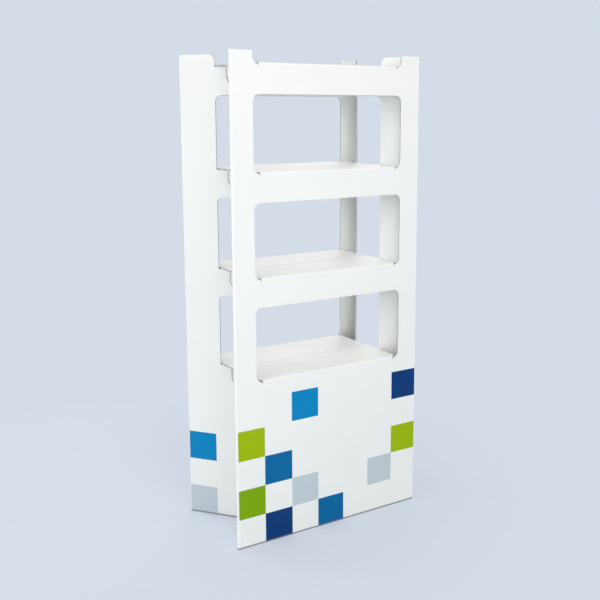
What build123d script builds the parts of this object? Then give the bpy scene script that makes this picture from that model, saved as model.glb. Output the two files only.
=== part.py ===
"""Free-standing cardboard shelf display, in millimetres.

Two die-cut blanks of corrugated board are folded and glued into one tall sleeve.
Each blank is a flat display panel and one side wall, and each side wall folds
inward along an upright crease at mid-depth. The shelves are flaps cut out of the
windows: one comes from the front panel and one from the back at every level. They
meet at mid-depth, where their lips turn down side by side and drop into slots in
the creases of the side walls, which holds the walls in their folded shape.

The origin is on the floor under the middle of the display, +Z up, the front
panel facing -Y. Seen from the front, +X is to the right.
"""

import os
from math import atan2, cos, hypot, radians, sin, tan

from build123d import *

# Overall sizes
height = 1600.0  # floor to the top of the corner ears
width = 726.0  # over the folds of the front panel
depth = 368.0  # front face to back face

# The board and its folds
board = 5.0  # thickness of the corrugated board
fold_radius = 3.0  # middle of the board, at every fold
glue_line = 0.1  # between a glue lap and the board that it is glued to
glue_lap = 35.0  # width of each glue lap
lap_top_cut = 12.0  # how far each glue lap ends below the ears

# The side walls
gusset_depth = 139.0  # how far a side wall folds in, at its crease
side_post = 138.0  # board beside a side window, from the corner along the wall

# The windows and shelves
front_post = 76.5  # board beside a window in the front and back panels
window_height = 239.0  # clear height over a shelf
window_radius = 22.0  # round corners of every window
top_shelf_drop = 35.0  # from the top of the ears down to the highest shelf
shelf_pitch = 335.0
shelf_count = 4
ear_radius = 22.0  # round upper corner of the side walls' ears

# The shelf flaps
flap_clearance = 1.5  # between a flap and the side wall's posts, and beside its fold
relief_radius = 3.0  # punched hole at each end of a shelf's fold
lip_drop = 57.0  # shelf top to the lower edge of the lip
lip_gap = 0.4  # from each lip to the middle of the display
rest_gap = 0.3  # from a shelf's underside to the side wall's edge
slot_clearance = 1.0  # round the two lips in the crease's slot

# The printed squares
print_columns = 7  # across the front panel
print_row = 100.0  # height of a square
print_film = 0.2  # thickness of the ink and its gloss coat
print_start = 1.0  # floor to the lowest row
side_square = 104.0  # width of a square on a side wall

# Worked out from the sizes above
fold_outer = fold_radius + board / 2
gusset_angle = atan2(gusset_depth, depth / 2)
corner_angle = radians(90) - gusset_angle
fold_set_back = fold_outer * (1 / tan(corner_angle / 2) - 1)
sharp_half = width / 2 + fold_set_back
half_wall = hypot(gusset_depth, depth / 2)
window_width = width - 2 * front_post
crease_width = window_width - 2 * window_radius
post_inside = sharp_half - side_post * sin(gusset_angle) - board * cos(gusset_angle)
flap_half = min(window_width / 2, post_inside) - flap_clearance
flap_corner = flap_half - crease_width / 2 - flap_clearance
flat_start = fold_outer / tan(corner_angle / 2)
lowest_shelf = height - top_shelf_drop - shelf_pitch * (shelf_count - 1)
shelf_levels = [lowest_shelf + shelf_pitch * step for step in range(shelf_count)]
cut_margin = 4 * board

# The front blank is folded as it stands, and the back blank is the same half turned round
FRONT, BACK = 1, -1


def wall_x(y, inset=0.0):
    """X of the left side wall's outer face at depth y, or of a line that far inside it"""
    return -sharp_half + (depth / 2 - abs(y)) * tan(gusset_angle) + inset / cos(gusset_angle)


def panel_plane(turn):
    """The outer face of the front panel, or of the back panel"""
    return Plane(
        origin=(0, -turn * depth / 2, 0), x_dir=(turn, 0, 0), z_dir=(0, -turn, 0)
    )


def wall_plane(turn, end):
    """A side wall's outer face. X runs from the corner at that end in to the crease."""
    run = Vector(sin(gusset_angle), end * cos(gusset_angle), 0) * turn
    return Plane(
        origin=(-turn * sharp_half, -turn * end * depth / 2, 0),
        x_dir=run,
        z_dir=run.cross(Vector(0, 0, 1)),
    )


def board_strip(path):
    """Board that stands on edge along a folded line, as tall as the display"""
    with BuildSketch() as plan:
        with BuildLine():
            FilletPolyline(*path, radius=fold_radius)
        trace(line_width=board)
    extrude(plan.sketch, amount=height)


def cut_panel(turn):
    """The windows of a flat panel, and the gap between its two ears"""
    for level in shelf_levels:
        foot = level - fold_outer
        is_open = level == shelf_levels[-1]
        top = height + cut_margin if is_open else level + window_height
        with BuildSketch(panel_plane(turn)) as window:
            with Locations((0, foot)):
                Rectangle(window_width, top - foot, align=(Align.CENTER, Align.MIN))
            corners = vertices().group_by(Axis.Y)[0] if is_open else vertices()
            fillet(corners, radius=window_radius)
            with Locations(*[(side * crease_width / 2, foot) for side in (-1, 1)]):
                Circle(relief_radius)
        extrude(window.sketch, amount=cut_margin, both=True, mode=Mode.SUBTRACT)


def cut_wall(turn):
    """The windows of a folded side wall, which run through its crease"""
    past_crease = half_wall + board
    for end in (-1, 1):
        for level in shelf_levels:
            foot = level - board - rest_gap
            top = level + window_height
            with BuildSketch(wall_plane(turn, end)) as window:
                if level == shelf_levels[-1]:
                    with BuildLine():
                        rise = Line((side_post, foot), (side_post, height - ear_radius))
                        shoulder = RadiusArc(
                            rise @ 1, (side_post - ear_radius, height), -ear_radius
                        )
                        Polyline(
                            shoulder @ 1,
                            (side_post - ear_radius, height + cut_margin),
                            (past_crease, height + cut_margin),
                            (past_crease, foot),
                            rise @ 0,
                        )
                    make_face()
                else:
                    with Locations((side_post, foot)):
                        Rectangle(past_crease - side_post, top - foot, align=(Align.MIN, Align.MIN))
                    post_corner = vertices().group_by(Axis.X)[0].sort_by(Axis.Y)[-1]
                    fillet(post_corner, radius=window_radius)
            extrude(window.sketch, amount=cut_margin / 2, both=True, mode=Mode.SUBTRACT)


def cut_slots(turn):
    """A slot down the crease under every shelf, as wide as two lips"""
    slot_width = 2 * (lip_gap + board + slot_clearance)
    crease_plane = Plane(
        origin=(-turn * sharp_half, 0, 0), x_dir=(0, turn, 0), z_dir=(turn, 0, 0)
    )
    for level in shelf_levels:
        bottom = level - lip_drop - slot_clearance
        with BuildSketch(crease_plane) as slot:
            with Locations((0, bottom)):
                Rectangle(slot_width, level - bottom, align=(Align.CENTER, Align.MIN))
        extrude(slot.sketch, amount=gusset_depth + cut_margin, mode=Mode.SUBTRACT)


def fold_shelves(turn):
    """The shelf flaps of one blank, folded in from its panel at every level"""
    with Locations(*[(0, 0, level) for level in shelf_levels]):
        add(shelf_flap.part, rotation=(0, 0, 0 if turn == FRONT else 180))


def cut_laps():
    """The glue laps end a little below the ears, so that they stay out of sight"""
    with BuildSketch(panel_plane(FRONT).offset(-board - glue_line)) as panel_lap:
        with Locations((right_fold - fold_outer, height)):
            Rectangle(glue_lap, lap_top_cut, align=(Align.MAX, Align.MAX))
    extrude(panel_lap.sketch, amount=-board, mode=Mode.SUBTRACT)
    with BuildSketch(wall_plane(FRONT, -1).offset(-board - glue_line)) as wall_lap:
        with Locations((flat_start + board, height)):
            Rectangle(glue_lap, lap_top_cut, align=(Align.MIN, Align.MAX))
    extrude(wall_lap.sketch, amount=-board, mode=Mode.SUBTRACT)


def print_panel(turn, cells):
    """Ink on the outside of a panel, one square for each (column, row)"""
    column_width = width / print_columns
    with BuildSketch(panel_plane(turn)) as ink:
        for column, row in cells:
            left = max(column * column_width, fold_outer) - width / 2
            right = (column + 1) * column_width - width / 2
            with Locations((left, print_start + row * print_row)):
                Rectangle(right - left, print_row, align=(Align.MIN, Align.MIN))
    extrude(ink.sketch, amount=print_film)


def print_walls(end, rows):
    """Ink on both side walls, beside the corner at that end"""
    for turn in (FRONT, BACK):
        with BuildSketch(wall_plane(turn, end)) as ink:
            for row in rows:
                with Locations((flat_start, print_start + row * print_row)):
                    Rectangle(side_square, print_row, align=(Align.MIN, Align.MIN))
        extrude(ink.sketch, amount=-end * print_film)


def keep_side(blank, plane, side):
    """The board of a folded blank on one side of a plane"""
    add(blank.part)
    split(bisect_by=plane, keep=side)


# One shelf flap of the front panel, with the shelf's top at z = 0: a strip of board bent
# in over the fold and down again into the lip, and cut to the outline of its window.
with BuildPart() as shelf_flap:
    with BuildSketch(Plane.YZ):
        with BuildLine():
            fold_centre = (-depth / 2 + fold_outer, -fold_outer)
            fold = CenterArc(fold_centre, fold_radius, 180, -90)
            FilletPolyline(
                fold @ 1,
                (-lip_gap - board / 2, -board / 2),
                (-lip_gap - board / 2, -lip_drop),
                radius=fold_radius,
            )
        trace(line_width=board)
    extrude(amount=flap_half, both=True)
    with BuildSketch(Plane.XY.offset(cut_margin)):
        with Locations((0, -depth / 2)):
            Rectangle(crease_width, depth / 2, align=(Align.CENTER, Align.MIN))
        with Locations((0, -lip_gap)):
            reach = depth / 2 - lip_gap - board - flap_clearance
            Rectangle(2 * flap_half, reach, align=(Align.CENTER, Align.MAX))
        for side in (0, -1):
            fold_corner = vertices().group_by(Axis.X)[side].sort_by(Axis.Y)[0]
            fillet(fold_corner, radius=flap_corner)
    extrude(amount=-(2 * cut_margin + lip_drop), mode=Mode.INTERSECT)
    lip_corners = edges().filter_by(Axis.Y).group_by(Axis.Z)[0]
    fillet(lip_corners, radius=window_radius)

# The front blank: the front panel and the left side wall. Its free edges are the right
# end of the panel and the rear end of the wall, which stops short of the back panel's fold.
with BuildPart() as front_blank:
    panel_line = -depth / 2 + board / 2
    end_step = fold_set_back / tan(gusset_angle) - board / 2 * sin(gusset_angle)
    wall_end = depth / 2 - end_step
    board_strip(
        [
            (width / 2, panel_line),
            (wall_x(panel_line, board / 2), panel_line),
            (wall_x(0, board / 2), 0),
            (wall_x(wall_end, board / 2), wall_end),
        ]
    )
    cut_panel(FRONT)
    cut_wall(FRONT)
    cut_slots(FRONT)

# The back blank: the back panel, the right side wall and the two glue laps. One lap
# lies inside the left wall and the other inside the front panel.
with BuildPart() as back_blank:
    lap_inset = board + glue_line + board / 2
    panel_line = depth / 2 - board / 2
    lap_line = -depth / 2 + lap_inset
    left_fold = wall_x(panel_line, lap_inset)
    right_fold = -wall_x(lap_line, board / 2)
    lap_run = (glue_lap * sin(gusset_angle), glue_lap * cos(gusset_angle))
    board_strip(
        [
            (left_fold + lap_run[0], panel_line - lap_run[1]),
            (left_fold, panel_line),
            (-wall_x(panel_line, board / 2), panel_line),
            (-wall_x(0, board / 2), 0),
            (right_fold, lap_line),
            (right_fold - glue_lap, lap_line),
        ]
    )
    cut_laps()
    cut_panel(BACK)
    cut_wall(BACK)
    cut_slots(BACK)

# Each blank is handed over as its panel, its side wall and its shelves, which meet at
# the folds. The two glue laps of the back blank are parts of their own.
front_inside = panel_plane(FRONT).offset(-board)
back_inside = panel_plane(BACK).offset(-board)
lap_inside = front_inside.offset(-board - glue_line)

with BuildPart() as front_panel:
    keep_side(front_blank, front_inside, Keep.TOP)

with BuildPart() as left_wall:
    keep_side(front_blank, front_inside, Keep.BOTTOM)

with BuildPart() as front_shelves:
    fold_shelves(FRONT)

with BuildPart() as back_panel:
    keep_side(back_blank, back_inside, Keep.TOP)

with BuildPart() as right_wall:
    keep_side(back_blank, back_inside, Keep.BOTTOM)
    split(bisect_by=lap_inside, keep=Keep.BOTTOM)
    split(bisect_by=Plane.YZ, keep=Keep.TOP)

with BuildPart() as back_shelves:
    fold_shelves(BACK)

with BuildPart() as front_lap:
    keep_side(back_blank, lap_inside, Keep.TOP)

with BuildPart() as rear_lap:
    keep_side(back_blank, back_inside, Keep.BOTTOM)
    split(bisect_by=Plane.YZ, keep=Keep.BOTTOM)

# The print, as a film of each colour on the outside of the board
with BuildPart() as blue_print:
    print_panel(FRONT, [(1, 2), (3, 0)])
    print_panel(BACK, [(1, 3)])

with BuildPart() as navy_print:
    print_panel(FRONT, [(1, 0), (6, 4)])
    print_panel(BACK, [(0, 0), (5, 1)])

with BuildPart() as sky_print:
    print_panel(FRONT, [(2, 4)])
    print_panel(BACK, [(2, 1)])
    print_walls(-1, [2])

with BuildPart() as green_print:
    print_panel(FRONT, [(0, 1)])
    print_panel(BACK, [(0, 4)])
    print_walls(1, [1])

with BuildPart() as lime_print:
    print_panel(FRONT, [(0, 3), (6, 2)])
    print_panel(BACK, [(1, 1)])

with BuildPart() as grey_print:
    print_panel(FRONT, [(2, 1), (5, 1)])
    print_panel(BACK, [(0, 2)])
    print_walls(-1, [0])

parts = {
    "front_panel": front_panel,
    "left_wall": left_wall,
    "front_shelves": front_shelves,
    "back_panel": back_panel,
    "right_wall": right_wall,
    "back_shelves": back_shelves,
    "front_lap": front_lap,
    "rear_lap": rear_lap,
    "blue_print": blue_print,
    "navy_print": navy_print,
    "sky_print": sky_print,
    "green_print": green_print,
    "lime_print": lime_print,
    "grey_print": grey_print,
}
os.makedirs("parts", exist_ok=True)
for name, piece in parts.items():
    piece.part.label = name
    export_step(piece.part, f"parts/{name}.step")
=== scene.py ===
"""A cardboard shelf display: the finish of its board and print, and the studio round it."""

import math

import bpy
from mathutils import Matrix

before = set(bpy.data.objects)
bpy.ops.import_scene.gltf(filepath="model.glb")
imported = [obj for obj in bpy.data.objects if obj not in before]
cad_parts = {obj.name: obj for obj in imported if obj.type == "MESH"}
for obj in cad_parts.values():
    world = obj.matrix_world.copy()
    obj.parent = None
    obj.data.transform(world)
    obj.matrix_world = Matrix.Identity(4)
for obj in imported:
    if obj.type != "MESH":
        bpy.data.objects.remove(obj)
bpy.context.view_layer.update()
bpy.ops.object.select_all(action="DESELECT")

# ---------------------------------------------------------------------------
# The board
# Double-wall corrugated board, 5 mm thick: three paper liners with a large and a small
# row of flutes between them, which run upright in the panels and walls. The white liner
# is clay coated, and its cut edges are left raw.
# ---------------------------------------------------------------------------
BOARD = 0.005
LINER_WHITE = (0.918, 0.936, 0.919, 1.0)
LARGE_FLUTE, SMALL_FLUTE = 0.0066, 0.0033


def calc(tree, operation, *values):
    """A Math node on numbers and other nodes' outputs"""
    node = tree.nodes.new("ShaderNodeMath")
    node.operation = operation
    for socket, value in zip(node.inputs, values):
        if isinstance(value, (int, float)):
            socket.default_value = value
        else:
            tree.links.new(value, socket)
    return node.outputs[0]


def between(tree, value, low, high):
    """1 where a value lies between two numbers, and 0 elsewhere"""
    return calc(
        tree,
        "MULTIPLY",
        calc(tree, "GREATER_THAN", value, low),
        calc(tree, "LESS_THAN", value, high),
    )


def blend(tree, factor, first, second):
    """A colour that goes from the first to the second with the factor"""
    node = tree.nodes.new("ShaderNodeMix")
    node.data_type = "RGBA"
    tree.links.new(factor, node.inputs["Factor"])
    for socket, value in ((node.inputs["A"], first), (node.inputs["B"], second)):
        if isinstance(value, tuple):
            socket.default_value = value
        else:
            tree.links.new(value, socket)
    return node.outputs["Result"]


def fade(tree, value, start, end, low=0.0, high=1.0):
    """A value carried over from one range to another, and held at its ends"""
    node = tree.nodes.new("ShaderNodeMapRange")
    tree.links.new(value, node.inputs["Value"])
    for name, number in (("From Min", start), ("From Max", end), ("To Min", low), ("To Max", high)):
        node.inputs[name].default_value = number
    return node.outputs["Result"]


def speckle(tree, place, scale, detail=2.0, stretch=(1, 1, 1)):
    """Noise on a place in metres, finer along an axis that is stretched"""
    mapping = tree.nodes.new("ShaderNodeMapping")
    mapping.inputs["Scale"].default_value = stretch
    noise = tree.nodes.new("ShaderNodeTexNoise")
    noise.inputs["Scale"].default_value = scale
    noise.inputs["Detail"].default_value = detail
    tree.links.new(place, mapping.inputs["Vector"])
    tree.links.new(mapping.outputs[0], noise.inputs["Vector"])
    return noise.outputs["Fac"]


def group_tree(name, inputs, outputs):
    """A shader node group, with its input sockets' node and its output sockets' node"""
    tree = bpy.data.node_groups.new(name, "ShaderNodeTree")
    for direction, sockets in (("INPUT", inputs), ("OUTPUT", outputs)):
        for label, kind in sockets:
            tree.interface.new_socket(label, in_out=direction, socket_type="NodeSocket" + kind)
    return tree, tree.nodes.new("NodeGroupInput").outputs, tree.nodes.new("NodeGroupOutput").inputs


def place_group(tree, group, **links):
    """A node group in a material, with links to its inputs"""
    node = tree.nodes.new("ShaderNodeGroup")
    node.node_tree = group
    for name, value in links.items():
        socket = node.inputs[name]
        if isinstance(value, (int, float, tuple)):
            socket.default_value = value
        else:
            tree.links.new(value, socket)
    return node.outputs


# Paper surface: fine grain, a slow mottle, and the flutes that show through as faint ribs
paper, given, result = group_tree(
    "paper surface",
    [("Place", "Vector"), ("Along", "Float")],
    [("Mottle", "Float"), ("Grain", "Float"), ("Height", "Float")],
)
mottle = speckle(paper, given["Place"], 9, 3)
grain = speckle(paper, given["Place"], 1100, 2, (1, 1, 0.45))
rib = calc(paper, "SINE", calc(paper, "MULTIPLY", given["Along"], 2 * math.pi / LARGE_FLUTE))
rib_depth = fade(paper, mottle, 0.35, 0.65, 0.02, 0.10)
ribs = calc(paper, "MULTIPLY", rib, rib_depth)
paper.links.new(mottle, result["Mottle"])
paper.links.new(grain, result["Grain"])
paper.links.new(
    calc(paper, "ADD", ribs, calc(paper, "MULTIPLY", grain, 0.16)), result["Height"]
)

# Cut edge: liners and waves of fluting where the cut crosses the flutes, and torn paper
# where it runs along them, with the gaps between painted dark grey as shade
cut_edge, given, result = group_tree(
    "cut edge",
    [("Place", "Vector"), ("Along", "Float"), ("Across", "Float"), ("Open", "Float")],
    [("Color", "Color"), ("Height", "Float")],
)
across = given["Across"]


def wave_line(pitch, middle, rise, thickness):
    """1 on a wavy sheet of fluting, seen end on"""
    turn = calc(cut_edge, "MULTIPLY", given["Along"], 2 * math.pi / pitch)
    line = calc(cut_edge, "MULTIPLY_ADD", calc(cut_edge, "SINE", turn), rise, middle)
    off = calc(cut_edge, "ABSOLUTE", calc(cut_edge, "SUBTRACT", across, line))
    steep = calc(cut_edge, "ABSOLUTE", calc(cut_edge, "COSINE", turn))
    reach = calc(cut_edge, "MULTIPLY_ADD", steep, 1.6 * thickness, thickness)
    return calc(cut_edge, "LESS_THAN", off, reach)


flutes = calc(
    cut_edge,
    "MAXIMUM",
    wave_line(LARGE_FLUTE, 0.345, 0.245, 0.038),
    wave_line(SMALL_FLUTE, 0.80, 0.10, 0.034),
)
liners = calc(
    cut_edge,
    "MAXIMUM",
    calc(cut_edge, "LESS_THAN", across, 0.075),
    calc(
        cut_edge,
        "MAXIMUM",
        between(cut_edge, across, 0.62, 0.685),
        calc(cut_edge, "GREATER_THAN", across, 0.925),
    ),
)
torn = fade(cut_edge, speckle(cut_edge, given["Place"], 420, 3), 0.44, 0.62)
inside = calc(
    cut_edge,
    "ADD",
    calc(cut_edge, "MULTIPLY", flutes, given["Open"]),
    calc(cut_edge, "MULTIPLY", torn, calc(cut_edge, "SUBTRACT", 1.0, given["Open"])),
)
solid = calc(cut_edge, "MAXIMUM", liners, inside)
dust = speckle(cut_edge, given["Place"], 260, 2)
fibre = blend(cut_edge, dust, (0.66, 0.67, 0.675, 1), (0.80, 0.812, 0.81, 1))
# Painted shade: where there is no paper, the hollows of the flutes are coloured dark grey
cut_edge.links.new(blend(cut_edge, solid, (0.22, 0.225, 0.235, 1), fibre), result["Color"])
cut_edge.links.new(solid, result["Height"])

# Board finish: the white liner, turned to cut edge where the mask says so. The coat is a
# little duller where it is stretched over a scored fold, and a painted highlight whitens it
# there. Near the floor, patches of it go darker towards the bottom, and the lowest few
# millimetres are painted dark grey as contact shadow.
board_finish, given, result = group_tree(
    "board finish",
    [
        ("Place", "Vector"),
        ("Raw", "Float"),
        ("Along", "Float"),
        ("Across", "Float"),
        ("Open", "Float"),
        ("Score", "Float"),
    ],
    [("Color", "Color"), ("Roughness", "Float"), ("Height", "Float")],
)
skin = place_group(board_finish, paper, Place=given["Place"], Along=given["Along"])
edge = place_group(
    board_finish,
    cut_edge,
    Place=given["Place"],
    Along=given["Along"],
    Across=given["Across"],
    Open=given["Open"],
)
level = board_finish.nodes.new("ShaderNodeSeparateXYZ")
board_finish.links.new(given["Place"], level.inputs[0])
shade = blend(
    board_finish,
    fade(board_finish, skin["Mottle"], 0.3, 0.7),
    (LINER_WHITE[0] * 0.985, LINER_WHITE[1] * 0.985, LINER_WHITE[2] * 0.99, 1),
    LINER_WHITE,
)
# Painted highlight: the liner is whitened along the scored folds, where a rounded fold catches the
# light
with_fold_highlight = blend(board_finish, given["Score"], shade, (0.945, 0.96, 0.95, 1))
rub = speckle(board_finish, given["Place"], 150, 4)
# Painted contact shadow: the lowest 5 to 6 mm turn dark grey against the floor, and above that, up
# to 14 mm, patches go darker towards the bottom
rubs_and_contact_shade = calc(
    board_finish,
    "MAXIMUM",
    calc(
        board_finish,
        "MULTIPLY",
        fade(board_finish, rub, 0.50, 0.72),
        fade(board_finish, level.outputs["Z"], 0.014, 0.002, 0.0, 0.4),
    ),
    fade(board_finish, level.outputs["Z"], 0.0062, 0.0046),
)
rubbed_and_contact_shaded = blend(board_finish, rubs_and_contact_shade, with_fold_highlight, (0.30, 0.315, 0.335, 1))
board_finish.links.new(blend(board_finish, given["Raw"], rubbed_and_contact_shaded, edge["Color"]), result["Color"])
sheen = calc(
    board_finish,
    "ADD",
    fade(board_finish, skin["Mottle"], 0.3, 0.7, 0.50, 0.57),
    calc(board_finish, "MULTIPLY", skin["Grain"], 0.06),
)
dull = calc(
    board_finish,
    "MAXIMUM",
    calc(board_finish, "MAXIMUM", given["Raw"], rubs_and_contact_shade),
    calc(board_finish, "MULTIPLY", given["Score"], 0.3),
)
board_finish.links.new(
    calc(board_finish, "ADD", sheen, calc(board_finish, "MULTIPLY", dull, 0.35)),
    result["Roughness"],
)
crush = calc(board_finish, "MULTIPLY", given["Score"], calc(board_finish, "MULTIPLY", rub, 0.12))
flat = calc(board_finish, "SUBTRACT", 1.0, given["Raw"])
board_finish.links.new(
    calc(
        board_finish,
        "ADD",
        calc(board_finish, "MULTIPLY", calc(board_finish, "ADD", skin["Height"], crush), flat),
        calc(board_finish, "MULTIPLY", edge["Height"], given["Raw"]),
    ),
    result["Height"],
)


class BoardPlace:
    """A new board material, with the place and the facing of the surface read out"""

    def __init__(self, name):
        self.material = bpy.data.materials.new(name)
        self.material.use_nodes = True
        self.tree = self.material.node_tree
        self.shader = self.tree.nodes["Principled BSDF"]
        coordinates = self.tree.nodes.new("ShaderNodeTexCoord")
        self.place = coordinates.outputs["Object"]
        axes = []
        for source in (self.place, coordinates.outputs["Normal"]):
            split = self.tree.nodes.new("ShaderNodeSeparateXYZ")
            self.tree.links.new(source, split.inputs[0])
            axes.append(split.outputs)
        (self.x, self.y, self.z), (self.nx, self.ny, self.nz) = axes
        self.up_or_down = calc(self.tree, "GREATER_THAN", calc(self.tree, "ABSOLUTE", self.nz), 0.5)

    def choose(self, mask, when_off, when_on):
        """One value where the mask is 0 and another where it is 1"""
        node = self.tree.nodes.new("ShaderNodeMix")
        node.data_type = "FLOAT"
        for name, value in (("Factor", mask), ("A", when_off), ("B", when_on)):
            self.tree.links.new(value, node.inputs[name])
        return node.outputs["Result"]

    def finish(self, raw, along, across, is_open, score):
        """The board's finish on the material's shader"""
        outputs = place_group(
            self.tree,
            board_finish,
            Place=self.place,
            Raw=raw,
            Along=along,
            Across=calc(self.tree, "WRAP", across, 1.0, 0.0),
            Open=is_open,
            Score=score,
        )
        bump = self.tree.nodes.new("ShaderNodeBump")
        bump.inputs["Strength"].default_value = 0.35
        bump.inputs["Distance"].default_value = 0.0002
        self.tree.links.new(outputs["Height"], bump.inputs["Height"])
        self.tree.links.new(outputs["Color"], self.shader.inputs["Base Color"])
        self.tree.links.new(outputs["Roughness"], self.shader.inputs["Roughness"])
        self.tree.links.new(bump.outputs[0], self.shader.inputs["Normal"])
        self.shader.inputs["Specular IOR Level"].default_value = 0.28
        return self.material


# ---------------------------------------------------------------------------
# The front and back panels
# The wide faces of the two blanks, die-cut with one window over each shelf. Their
# ends are scored and folded into the side walls, except the front panel's right end. A
# cut edge shows raw, but not the outside of a fold, where the liner goes round unbroken.
# ---------------------------------------------------------------------------
PANEL_INSIDE = 0.179
FREE_END = 0.362
LEFT_FOLD, RIGHT_FOLD = -0.349, 0.3535
SCORE_START, SCORE_END = 0.3585, 0.3615
panel = BoardPlace("panel board")
tree = panel.tree
depth_in = calc(tree, "ABSOLUTE", panel.y)
facing = calc(tree, "LESS_THAN", calc(tree, "ABSOLUTE", panel.ny), 0.5)
free_end = calc(
    tree,
    "MULTIPLY",
    calc(tree, "LESS_THAN", panel.y, 0.0),
    calc(tree, "GREATER_THAN", panel.x, FREE_END),
)
right_fold = calc(
    tree,
    "MULTIPLY",
    calc(tree, "GREATER_THAN", panel.x, RIGHT_FOLD),
    calc(tree, "SUBTRACT", 1.0, free_end),
)
folded = calc(tree, "ADD", calc(tree, "LESS_THAN", panel.x, LEFT_FOLD), right_fold)
side_cut = calc(tree, "MULTIPLY", facing, calc(tree, "SUBTRACT", 1.0, folded))
panel_board = panel.finish(
    raw=calc(tree, "MAXIMUM", panel.up_or_down, side_cut),
    along=panel.choose(side_cut, panel.x, panel.z),
    across=calc(tree, "DIVIDE", calc(tree, "SUBTRACT", depth_in, PANEL_INSIDE), BOARD),
    is_open=panel.up_or_down,
    score=fade(tree, calc(tree, "ABSOLUTE", panel.x), SCORE_START, SCORE_END),
)
for name in ("front_panel", "back_panel", "front_lap"):
    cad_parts[name].material_slots[0].material = panel_board

# ---------------------------------------------------------------------------
# The side walls
# Each wall folds inward along an upright crease at mid-depth, where the shelves' lips
# lock it. The windows beside the shelves run through the crease.
# ---------------------------------------------------------------------------
HALF_DEPTH, FOLD_IN = 0.184, 0.139
GUSSET_ANGLE = math.atan2(FOLD_IN, HALF_DEPTH)
SHARP_HALF = 0.36855
CORNER_FOLD = 0.17
wall = BoardPlace("side wall board")
tree = wall.tree
depth_in = calc(tree, "ABSOLUTE", wall.y)
slope = calc(tree, "MULTIPLY", calc(tree, "SUBTRACT", HALF_DEPTH, depth_in), math.tan(GUSSET_ANGLE))
outside = calc(tree, "SUBTRACT", SHARP_HALF, slope)
inset = calc(
    tree,
    "MULTIPLY",
    calc(tree, "SUBTRACT", outside, calc(tree, "ABSOLUTE", wall.x)),
    math.cos(GUSSET_ANGLE),
)
facing_x = calc(tree, "MULTIPLY", wall.nx, calc(tree, "SIGN", wall.x))
facing_y = calc(tree, "MULTIPLY", wall.ny, calc(tree, "SIGN", wall.y))
facing = calc(
    tree,
    "SUBTRACT",
    calc(tree, "MULTIPLY", facing_x, math.cos(GUSSET_ANGLE)),
    calc(tree, "MULTIPLY", facing_y, math.sin(GUSSET_ANGLE)),
)
edge_on = calc(tree, "LESS_THAN", calc(tree, "ABSOLUTE", facing), 0.7)
rear_fold = calc(
    tree,
    "MULTIPLY",
    calc(tree, "GREATER_THAN", wall.x, 0.0),
    calc(tree, "GREATER_THAN", wall.y, CORNER_FOLD),
)
folded = calc(tree, "ADD", calc(tree, "LESS_THAN", wall.y, -CORNER_FOLD), rear_fold)
side_cut = calc(tree, "MULTIPLY", edge_on, calc(tree, "LESS_THAN", folded, 0.5))
crease = fade(tree, depth_in, 0.0045, 0.002)
corner = fade(tree, depth_in, 0.1755, 0.179)
wall_board = wall.finish(
    raw=calc(tree, "MAXIMUM", wall.up_or_down, side_cut),
    along=wall.choose(side_cut, calc(tree, "DIVIDE", wall.y, math.cos(GUSSET_ANGLE)), wall.z),
    across=calc(tree, "SUBTRACT", 1.0, calc(tree, "DIVIDE", inset, BOARD + 0.0001)),
    is_open=wall.up_or_down,
    score=calc(tree, "MAXIMUM", crease, corner),
)
for name in ("left_wall", "right_wall", "rear_lap"):
    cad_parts[name].material_slots[0].material = wall_board

# ---------------------------------------------------------------------------
# The shelves
# Flaps cut from the windows and folded in, with a lip turned down at mid-depth. Their
# flutes run front to back, so the side edges are cut along the flutes. Heights are wrapped
# round each shelf's top, so that one material serves all four levels.
# ---------------------------------------------------------------------------
LOWEST_SHELF = 0.560
PITCH_START, PITCH_END = -0.1, 0.235
LIP_TURN, PANEL_FOLD = 0.006, 0.1785
UNDERSIDE = -0.0056
LIP_GAP = 0.0004
shelf = BoardPlace("shelf board")
tree = shelf.tree
reach = calc(tree, "ABSOLUTE", shelf.y)
above = calc(
    tree, "WRAP", calc(tree, "SUBTRACT", shelf.z, LOWEST_SHELF), PITCH_END, PITCH_START
)
side_cut = calc(tree, "GREATER_THAN", calc(tree, "ABSOLUTE", shelf.nx), 0.5)
corner_cut = calc(
    tree,
    "MULTIPLY",
    between(tree, reach, LIP_TURN, PANEL_FOLD),
    calc(tree, "SUBTRACT", 1.0, shelf.up_or_down),
)
in_lip = calc(
    tree,
    "MULTIPLY",
    calc(tree, "LESS_THAN", above, UNDERSIDE),
    calc(tree, "LESS_THAN", reach, LIP_TURN),
)
lip_cut = calc(tree, "MULTIPLY", in_lip, shelf.up_or_down)
shelf_board = shelf.finish(
    raw=calc(tree, "MAXIMUM", side_cut, calc(tree, "MAXIMUM", corner_cut, lip_cut)),
    along=shelf.choose(side_cut, shelf.x, calc(tree, "ADD", reach, above)),
    across=shelf.choose(
        in_lip,
        calc(tree, "MULTIPLY_ADD", above, 1 / BOARD, 0.9999),
        calc(tree, "DIVIDE", calc(tree, "SUBTRACT", reach, LIP_GAP), BOARD),
    ),
    is_open=calc(tree, "SUBTRACT", 1.0, side_cut),
    score=calc(
        tree, "MAXIMUM", fade(tree, reach, 0.178, 0.181), fade(tree, reach, 0.0065, 0.0045)
    ),
)
for name in ("front_shelves", "back_shelves"):
    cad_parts[name].material_slots[0].material = shelf_board

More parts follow.
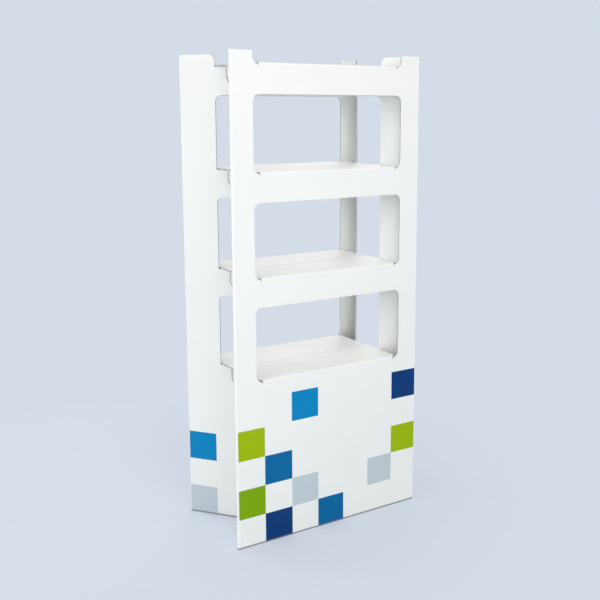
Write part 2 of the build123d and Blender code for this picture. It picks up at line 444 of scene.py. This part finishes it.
# ---------------------------------------------------------------------------
# The print
# Squares of ink printed on the outside of the white liner. The ink is smooth and throws
# hardly any reflection, and it is thin: the ribs of the flutes show in it.
# ---------------------------------------------------------------------------
INKS = {
    "blue_print": (0.0004, 0.141, 0.366),
    "navy_print": (0.0016, 0.044, 0.190),
    "sky_print": (0.0004, 0.243, 0.545),
    "green_print": (0.207, 0.405, 0.0035),
    "lime_print": (0.345, 0.502, 0.0012),
    "grey_print": (0.568, 0.637, 0.690),
}
printed, given, result = group_tree(
    "printed ink",
    [("Place", "Vector"), ("Along", "Float"), ("Ink", "Color")],
    [("Color", "Color"), ("Roughness", "Float"), ("Height", "Float")],
)
skin = place_group(printed, paper, Place=given["Place"], Along=given["Along"])
screen = speckle(printed, given["Place"], 2600, 1)
thin = calc(
    printed,
    "ADD",
    fade(printed, skin["Mottle"], 0.25, 0.75, 0.0, 0.006),
    fade(printed, screen, 0.45, 0.75, 0.0, 0.012),
)
pinholes = fade(printed, speckle(printed, given["Place"], 700, 3), 0.735, 0.76)
bare = calc(printed, "MAXIMUM", thin, calc(printed, "MULTIPLY", pinholes, 0.5))
low = printed.nodes.new("ShaderNodeSeparateXYZ")
printed.links.new(given["Place"], low.inputs[0])
# Painted contact shadow: the lowest 5 to 6 mm of the print go most of the way to dark grey against
# the floor
foot_contact_shade = fade(printed, low.outputs["Z"], 0.0062, 0.0046, 0.0, 0.75)
covered = blend(printed, bare, given["Ink"], LINER_WHITE)
printed.links.new(blend(printed, foot_contact_shade, covered, (0.20, 0.21, 0.23, 1)), result["Color"])
printed.links.new(
    calc(
        printed,
        "ADD",
        fade(printed, skin["Mottle"], 0.3, 0.7, 0.36, 0.44),
        calc(printed, "MULTIPLY", skin["Grain"], 0.06),
    ),
    result["Roughness"],
)
printed.links.new(calc(printed, "MULTIPLY", skin["Height"], 0.7), result["Height"])

for name, colour in INKS.items():
    ink = bpy.data.materials.new(name.replace("_print", " ink"))
    ink.use_nodes = True
    tree = ink.node_tree
    place = tree.nodes.new("ShaderNodeTexCoord").outputs["Object"]
    along = tree.nodes.new("ShaderNodeSeparateXYZ")
    tree.links.new(place, along.inputs[0])
    outputs = place_group(tree, printed, Place=place, Along=along.outputs["X"], Ink=(*colour, 1.0))
    bump = tree.nodes.new("ShaderNodeBump")
    bump.inputs["Strength"].default_value = 0.3
    bump.inputs["Distance"].default_value = 0.0002
    shader = tree.nodes["Principled BSDF"]
    shader.inputs["Specular IOR Level"].default_value = 0.04
    tree.links.new(outputs["Height"], bump.inputs["Height"])
    tree.links.new(bump.outputs[0], shader.inputs["Normal"])
    tree.links.new(outputs["Color"], shader.inputs["Base Color"])
    tree.links.new(outputs["Roughness"], shader.inputs["Roughness"])
    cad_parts[name].material_slots[0].material = ink

# ---------------------------------------------------------------------------
# Floor and backdrop
# A plain pale studio sweep. Round the display and behind its left side it is lit and takes
# shadow, and further off it fades into the same colour unlit, so that no horizon shows.
# ---------------------------------------------------------------------------
BACKDROP = (0.658, 0.716, 0.799, 1.0)
FLOOR_PAINT = (0.635, 0.695, 0.790, 1.0)
LIT_MIDDLE = (-0.25, 0.45, 0)
bpy.ops.mesh.primitive_circle_add(
    vertices=96, radius=40, fill_type="NGON", location=(0, 0, -0.0005)
)
floor = bpy.context.object
floor.name = "floor"
bpy.ops.object.transform_apply(location=True)
floor_paint = bpy.data.materials.new("floor paint")
floor_paint.use_nodes = True
tree = floor_paint.node_tree
place = tree.nodes.new("ShaderNodeTexCoord").outputs["Object"]
spread = tree.nodes.new("ShaderNodeVectorMath")
spread.operation = "DISTANCE"
spread.inputs[1].default_value = LIT_MIDDLE
tree.links.new(place, spread.inputs[0])
unlit = tree.nodes.new("ShaderNodeEmission")
unlit.inputs["Color"].default_value = BACKDROP
far_off = tree.nodes.new("ShaderNodeMixShader")
path = tree.nodes.new("ShaderNodeLightPath")
tree.links.new(
    calc(
        tree,
        "MULTIPLY",
        fade(tree, spread.outputs["Value"], 0.4, 1.3, 0.3, 1.0),
        path.outputs["Is Camera Ray"],
    ),
    far_off.inputs["Fac"],
)
shader = tree.nodes["Principled BSDF"]
shader.inputs["Base Color"].default_value = FLOOR_PAINT
shader.inputs["Roughness"].default_value = 0.9
shader.inputs["Specular IOR Level"].default_value = 0.0
tree.links.new(shader.outputs[0], far_off.inputs[1])
tree.links.new(unlit.outputs[0], far_off.inputs[2])
tree.links.new(far_off.outputs[0], tree.nodes["Material Output"].inputs["Surface"])
floor.data.materials.append(floor_paint)

# ---------------------------------------------------------------------------
# Light
# Soft boxes all round the display over a low even light, the strongest at the rear left.
# Most stand a little above the shelves, so that their light goes through the windows to
# the inside and the foot is a little greyer than the top.
# ---------------------------------------------------------------------------
world = bpy.data.worlds.new("studio")
bpy.context.scene.world = world
world.use_nodes = True
tree = world.node_tree
tree.nodes.clear()
seen = tree.nodes.new("ShaderNodeBackground")
seen.inputs["Color"].default_value = BACKDROP
studio = tree.nodes.new("ShaderNodeBackground")
studio.inputs["Color"].default_value = (1.0, 0.985, 0.96, 1)
studio.inputs["Strength"].default_value = 0.46
which = tree.nodes.new("ShaderNodeMixShader")
path = tree.nodes.new("ShaderNodeLightPath")
tree.links.new(path.outputs["Is Camera Ray"], which.inputs["Fac"])
tree.links.new(studio.outputs[0], which.inputs[1])
tree.links.new(seen.outputs[0], which.inputs[2])
tree.links.new(which.outputs[0], tree.nodes.new("ShaderNodeOutputWorld").inputs["Surface"])

LAMPS = {
    "key": ((-1.7, -2.6, 1.75), (0, 0, 1.2), 1.6, 13),
    "high key": ((-0.9, -2.2, 3.4), (0, 0, 1.2), 1.4, 13),
    "front": ((-0.5, -3.2, 1.5), (0, 0, 1.2), 1.6, 16),
    "left": ((-3.0, -0.9, 1.9), (0, 0, 1.1), 1.8, 23),
    "right": ((1.5, -2.8, 1.8), (0, 0, 1.1), 1.8, 12),
    "top": ((0, -0.2, 3.6), (0, 0, 1.0), 2.0, 7),
    "rear left": ((-1.6, 2.6, 2.2), (0, 0, 1.0), 1.8, 43),
    "rear right": ((1.9, 2.4, 2.2), (0, 0, 1.0), 1.8, 26),
}
for name, (spot, target, size, power) in LAMPS.items():
    bpy.ops.object.light_add(type="AREA", location=spot)
    lamp = bpy.context.object
    lamp.name = name
    lamp.data.shape = "SQUARE"
    lamp.data.size = size
    lamp.data.energy = power
    lamp.data.color = (1.0, 0.99, 0.965)
    aim = lamp.location.copy()
    aim.xyz = [goal - start for goal, start in zip(target, spot)]
    lamp.rotation_euler = aim.to_track_quat("-Z", "Y").to_euler()

# ---------------------------------------------------------------------------
# Camera
# At standing height, to the left of the display, looking slightly down at it.
# ---------------------------------------------------------------------------
PICTURE, FOCAL = 600, 900.3
MIDDLE_X, MIDDLE_Y = 330.9, 262
bpy.ops.object.camera_add(location=(-1.6337, -2.6400, 1.4177))
camera = bpy.context.object
camera.name = "camera"
camera.rotation_euler = (math.radians(90 - 9.522), 0, -math.radians(33.633))
camera.data.sensor_width = 36
camera.data.lens = FOCAL / PICTURE * camera.data.sensor_width
camera.data.shift_x = (PICTURE / 2 - MIDDLE_X) / PICTURE
camera.data.shift_y = (MIDDLE_Y - PICTURE / 2) / PICTURE
camera.data.clip_end = 200
bpy.context.scene.camera = camera
bpy.context.scene.view_settings.view_transform = "Standard"
